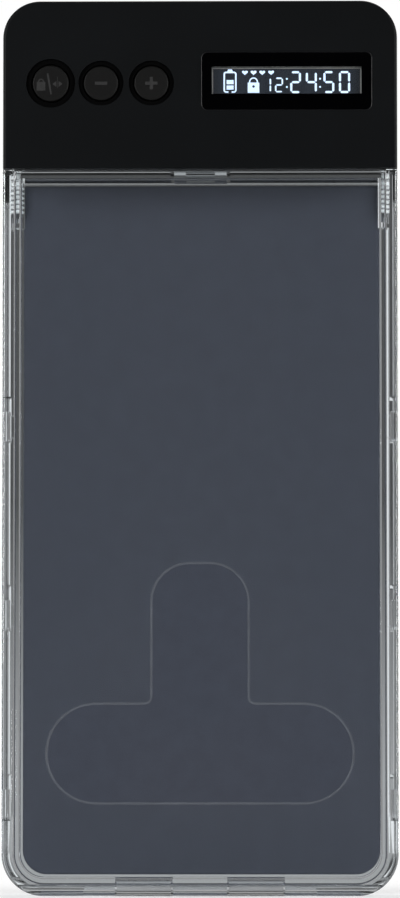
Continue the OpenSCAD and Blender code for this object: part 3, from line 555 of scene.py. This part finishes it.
def key_signs():
    """Padlock, slash and arrows on the lock key, a minus and a plus on the other two."""
    def sign(name, key, shapes):
        front = mm_box(key)[0].y
        piece = extrude_shapes(name, shapes, front - SIGN_PROUD, front + SIGN_DEEP, icon)
        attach(piece, key)

    cx, cz = middle(*mm_box("lock_key"))
    x, z = cx - 2.2, cz - 0.65
    lock = [rect(x - 0.98, z - 1.0, x + 0.98, z + 1.0)] + arc(x, z + 1.0, 0.42, 0.74, 0, 180, 14)
    lock += [stroke((cx - 0.72, cz + 2.3), (cx + 0.1, cz - 2.5), 0.42)]
    x = cx + 1.55
    lock += [[(x - 0.25, cz + 0.55), (x - 1.15, cz - 0.15), (x - 0.25, cz - 0.85)],
             [(x + 0.25, cz + 0.55), (x + 0.25, cz - 0.85), (x + 1.15, cz - 0.15)],
             rect(x - 0.06, cz - 1.1, x + 0.06, cz + 1.5)]
    sign("lock_sign", "lock_key", lock)
    half, t = 1.42, 0.36  # half length and half width of a bar
    cx, cz = middle(*mm_box("minus_key"))
    sign("minus_sign", "minus_key", [rect(cx - half, cz - t, cx + half, cz + t)])
    cx, cz = middle(*mm_box("plus_key"))
    plus = [rect(cx - half, cz - t, cx - t, cz + t), rect(cx + t, cz - t, cx + half, cz + t),
            rect(cx - t, cz - half, cx + t, cz + half)]
    sign("plus_sign", "plus_key", plus)


# ---- the pad on the tray floor ----

PAD_CORNER, PAD_EDGE = 5.6, 0.45  # radius of the bottom corners, and of the edge
PAD_GAP = 0.03                    # between the foam and the clear wall behind it


def pad():
    """A sheet of foam with soft edges and two round bottom corners."""
    lo, hi = mm_box("tray_pad")
    r = PAD_CORNER
    outline = [(hi.x, hi.z), (lo.x, hi.z)]
    for cx, start in ((lo.x + r, 180), (hi.x - r, 270)):
        outline += quarter(cx, lo.z + r, r, start, 15)
    piece = extrude_shapes("foam_pad", [outline], lo.y, hi.y - PAD_GAP, foam)
    edge = piece.modifiers.new("edge", "BEVEL")
    edge.width, edge.segments = PAD_EDGE * MM, 4
    edge.limit_method, edge.angle_limit = "ANGLE", math.radians(60)
    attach(piece, "case")
    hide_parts("tray_pad")


window_pieces()
display()
key_signs()
pad()


# ---- studio ----

# long lens, a little to the right and low, looking slightly upward: fitted to the photograph's outline
CAMERA = Vector((0.023, -1.25, 0.0271))
SENSOR, FOCAL = 36.0, 218.894
UPWARD, TURN = 3.4302, 1.0627
LIT_POINT = Vector((0, 0, 0.10))
# A grey card behind the object, which only rays through clear parts see. A ray meets it if it leans sideways
# (x against y) between the two sides, and rises (z against y) less than the top.
CARD_SIDES, CARD_TOP, CARD_FADE = (-0.60, 0.14), 0.175, 0.025
FLOOR_CARD_SIDES = (-0.095, 0.14)           # on the floor, where a wider card would show from the sides
CARD_TONES, CARD_RISE = (0.42, 0.07), 0.05  # its tone at the floor, and from that rise up
OPEN_TONE = 0.9              # the room beside the card, seen through clear parts
MIRRORED_TONE = 0.3          # the same, for rays that were mirrored inside clear parts
ROOM_TONES = (0.005, 0.02)   # what else lights the object and mirrors in it, from the front and from behind
ROOM_FADE = (-0.75, 0.35)    # between these directions in y the first turns into the second
WHITE_FROM = (0.08, 0.3)     # the floor runs out to plain white between these distances from the origin,
DEPTH_COUNTS = 1.5           # where those along y count this many times
FLOOR_TONE, FLOOR_LIFT = 0.8, 0.3  # the floor near the object, and its own glow there
FLOOR_DOWN = 0.00004         # below the base, so that the two don't share a plane
# The floor's mirror image in the front panel fades out from the second y to the first. Refracted rays count
# as glossy too, so what the clear walls show of that stretch from behind fades with it.
MIRROR_FADE = (-0.19, -0.03)
BOUNCES = 24  # light runs far inside the clear walls before it comes out


def card_width(nt, lean, sides):
    """1 where rays lean sideways so little that they meet the card."""
    left = ramp(nt, lean, sides[0] - CARD_FADE, sides[0], 0.0, 1.0)
    right = ramp(nt, lean, sides[1], sides[1] + CARD_FADE, 1.0, 0.0)
    return math_node(nt, "MULTIPLY", left, right)


def floor():
    """Pale floor: it keeps the shadow near the object and runs out to plain white."""
    bm = bmesh.new()
    xs = [-1.6, -0.8, -0.4, 0, 0.4, 0.8, 1.6]
    ys = [-0.2, -0.1, 0, 0.3, 0.8, 1.5, 2.4]
    grid = [[bm.verts.new((x, y, -FLOOR_DOWN)) for x in xs] for y in ys]
    for a, b in zip(grid, grid[1:]):
        for i in range(len(xs) - 1):
            bm.faces.new((a[i], a[i + 1], b[i + 1], b[i]))
    m, nt, p = new_material("pale_floor")
    p.inputs["Base Color"].default_value = (FLOOR_TONE, FLOOR_TONE, FLOOR_TONE, 1)
    p.inputs["Roughness"].default_value = 0.9
    p.inputs["Specular IOR Level"].default_value = 0.0
    length = nt.nodes.new("ShaderNodeVectorMath")
    length.operation = "LENGTH"
    nt.links.new(coords(nt, (1, DEPTH_COUNTS, 1)), length.inputs[0])
    far = ramp(nt, length.outputs["Value"], *WHITE_FROM, 0.0, 1.0)
    far.node.interpolation_type = "SMOOTHSTEP"
    light = nt.nodes.new("ShaderNodeLightPath")
    direct = math_node(nt, "MAXIMUM", light.outputs["Is Camera Ray"], light.outputs["Is Glossy Ray"])
    lift = nt.nodes.new("ShaderNodeEmission")
    nt.links.new(math_node(nt, "MULTIPLY", direct, FLOOR_LIFT), lift.inputs["Strength"])
    near = nt.nodes.new("ShaderNodeAddShader")
    nt.links.new(p.outputs[0], near.inputs[0])
    nt.links.new(lift.outputs[0], near.inputs[1])
    # the foot of the card, as the camera looks over the floor
    through = light.outputs["Is Transmission Ray"]
    x, y, _ = place_of(nt, coords(nt))
    aside = math_node(nt, "SUBTRACT", x, CAMERA.x)
    lean = math_node(nt, "DIVIDE", aside, math_node(nt, "SUBTRACT", y, CAMERA.y))
    card = math_node(nt, "MULTIPLY", card_width(nt, lean, FLOOR_CARD_SIDES), through)
    white = nt.nodes.new("ShaderNodeEmission")
    nt.links.new(ramp(nt, card, 0, 1, 1.0, CARD_TONES[0]), white.inputs["Strength"])
    white_share = math_node(nt, "MAXIMUM", math_node(nt, "MULTIPLY", far, direct), through)
    out = mix_by(nt, white_share, near.outputs[0], white.outputs[0])
    # glossy rays see it run out softly towards its front edge
    room = add(nt, "ShaderNodeEmission", Strength=ROOM_TONES[0])
    gone = math_node(nt, "MULTIPLY", ramp(nt, y, *MIRROR_FADE, 1.0, 0.0), light.outputs["Is Glossy Ray"])
    out = mix_by(nt, gone, out, room.outputs[0])
    nt.links.new(out, nt.nodes["Material Output"].inputs["Surface"])
    make_object("floor", bm, m)


def world():
    """White for the camera. Rays through clear parts meet the grey card, or the pale room round it."""
    w = bpy.data.worlds.new("studio")
    bpy.context.scene.world = w
    w.use_nodes = True
    nt = w.node_tree
    room = nt.nodes["Background"]
    x, y, z = place_of(nt, nt.nodes.new("ShaderNodeTexCoord").outputs["Generated"])
    room.inputs["Color"].default_value = (1, 1, 1, 1)
    nt.links.new(ramp(nt, y, *ROOM_FADE, *ROOM_TONES), room.inputs["Strength"])

    light = nt.nodes.new("ShaderNodeLightPath")
    lean = math_node(nt, "DIVIDE", x, y)
    rise = math_node(nt, "DIVIDE", z, y)
    below_top = ramp(nt, rise, CARD_TOP, CARD_TOP + CARD_FADE, 1.0, 0.0)
    card = math_node(nt, "MULTIPLY", card_width(nt, lean, CARD_SIDES), below_top)
    card = math_node(nt, "MULTIPLY", card, math_node(nt, "GREATER_THAN", y, 0.0))
    depth = ramp(nt, rise, 0.0, CARD_RISE, 1 - CARD_TONES[0], 1 - CARD_TONES[1])
    darkness = math_node(nt, "MULTIPLY", card, depth)
    mirrored = math_node(nt, "GREATER_THAN", light.outputs["Glossy Depth"], 0.5)
    tone = ramp(nt, mirrored, 0, 1, OPEN_TONE, MIRRORED_TONE)
    through = add(nt, "ShaderNodeBackground", Color=(1, 1, 1, 1))
    nt.links.new(math_node(nt, "MINIMUM", tone, math_node(nt, "SUBTRACT", 1.0, darkness)),
                 through.inputs["Strength"])
    white = add(nt, "ShaderNodeBackground", Color=(1, 1, 1, 1))
    out = mix_by(nt, light.outputs["Is Transmission Ray"], room.outputs[0], through.outputs[0])
    out = mix_by(nt, light.outputs["Is Camera Ray"], out, white.outputs[0])
    nt.links.new(out, nt.nodes["World Output"].inputs["Surface"])


def lamp(name, place, size, power):
    """A soft rectangle of light turned to the middle of the object."""
    data = bpy.data.lights.new(name, "AREA")
    data.shape, data.size, data.size_y, data.energy = "RECTANGLE", size[0], size[1], power
    obj = bpy.data.objects.new(name, data)
    bpy.context.scene.collection.objects.link(obj)
    obj.location = place
    obj.rotation_euler = (LIT_POINT - Vector(place)).to_track_quat("-Z", "Y").to_euler()
    obj.visible_transmission = False  # no lamp shows through the clear walls


floor()
world()
lamp("key_light", (-0.75, -0.78, 0.32), (0.5, 0.5), 8.3)
lamp("fill_light", (0.8, -0.72, 0.26), (0.5, 0.5), 8.3)
lamp("top_light", (0.0, 0.1, 1.1), (0.6, 0.6), 3)
lamp("rim_light_left", (-0.5, 0.35, 0.2), (0.12, 0.5), 2.0)
lamp("rim_light_right", (0.5, 0.35, 0.2), (0.12, 0.5), 2.0)

camera_data = bpy.data.cameras.new("camera")
camera_data.sensor_width = SENSOR
camera_data.lens = FOCAL
camera_data.clip_end = 20.0
camera = bpy.data.objects.new("camera", camera_data)
bpy.context.scene.collection.objects.link(camera)
camera.location = CAMERA
camera.rotation_euler = (math.radians(90 + UPWARD), 0, math.radians(TURN))
bpy.context.scene.camera = camera

bpy.context.scene.view_settings.view_transform = "Standard"
bpy.context.scene.cycles.transmission_bounces = BOUNCES
bpy.context.scene.cycles.glossy_bounces = BOUNCES
bpy.context.scene.cycles.max_bounces = BOUNCES
bpy.context.scene.cycles.transparent_max_bounces = BOUNCES
